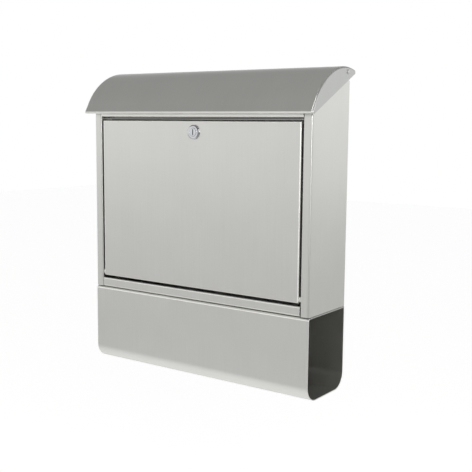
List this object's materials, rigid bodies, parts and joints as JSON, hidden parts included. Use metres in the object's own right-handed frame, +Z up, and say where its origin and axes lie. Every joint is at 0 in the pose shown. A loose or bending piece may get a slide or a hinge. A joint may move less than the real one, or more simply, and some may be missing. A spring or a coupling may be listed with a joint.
{
  "type": "wall mounted mailbox",
  "caption": "Wall-mounted stainless letter box with a lifting curved hood, a drop-down locked front door and an open-ended newspaper tray below.",
  "frame": {"origin": "centre of the four wall holes, on the back face that lies against the wall", "axes": "+X to the right as seen from the front, +Y into the wall, +Z up"},
  "size_m": [0.377, 0.1055, 0.4174],
  "materials": {
    "case_steel": "satin brushed stainless, fine grain up and down",
    "tray_steel": "satin brushed stainless, fine grain up and down",
    "door_steel": "satin brushed stainless, fine grain up and down",
    "hood_steel": "satin brushed stainless, fine grain round the curve",
    "rivet_steel": "plain turned steel",
    "zinc_plate": "bright zinc plate",
    "lock_chrome": "polished chrome",
    "white_nylon": "natural nylon",
    "black_rubber": "soft black rubber"
  },
  "bodies": {
    "case": {"case_shell": "case_steel", "floor_pan": "case_steel", "top_rail": "case_steel", "newspaper_tray": "tray_steel", "tray_rivets": "rivet_steel", "hood_buffer_left": "black_rubber", "hood_buffer_right": "black_rubber"},
    "hood": {"hood_sheet": "hood_steel", "hood_end_cap_left": "hood_steel", "hood_end_cap_right": "hood_steel", "hood_pin_left": "rivet_steel", "hood_pin_right": "rivet_steel", "hood_spacer_left": "white_nylon", "hood_spacer_right": "white_nylon", "hood_clip_left": "rivet_steel", "hood_clip_right": "rivet_steel"},
    "door": {"door_panel": "door_steel", "door_pin_left": "rivet_steel", "door_pin_right": "rivet_steel", "door_bush_left": "white_nylon", "door_bush_right": "white_nylon", "door_clip_left": "rivet_steel", "door_clip_right": "rivet_steel", "lock_housing": "lock_chrome", "lock_nut": "zinc_plate"},
    "lock": {"lock_plug": "lock_chrome", "lock_cam": "zinc_plate", "cam_nut": "zinc_plate"}
  },
  "joints": [
    {"name": "hood_hinge", "type": "hinge", "parent": "case", "child": "hood", "pos_m": [0, -0.0206, 0.16174], "axis": [-1, 0, 0], "range_deg": [0, 35]},
    {"name": "door_hinge", "type": "hinge", "parent": "case", "child": "door", "pos_m": [0, -0.0877, -0.1185], "axis": [1, 0, 0], "range_deg": [0, 110]},
    {"name": "lock_turn", "type": "hinge", "parent": "door", "child": "lock", "pos_m": [0, -0.0925, 0.0852], "axis": [0, 1, 0], "range_deg": [0, 90]}
  ]
}
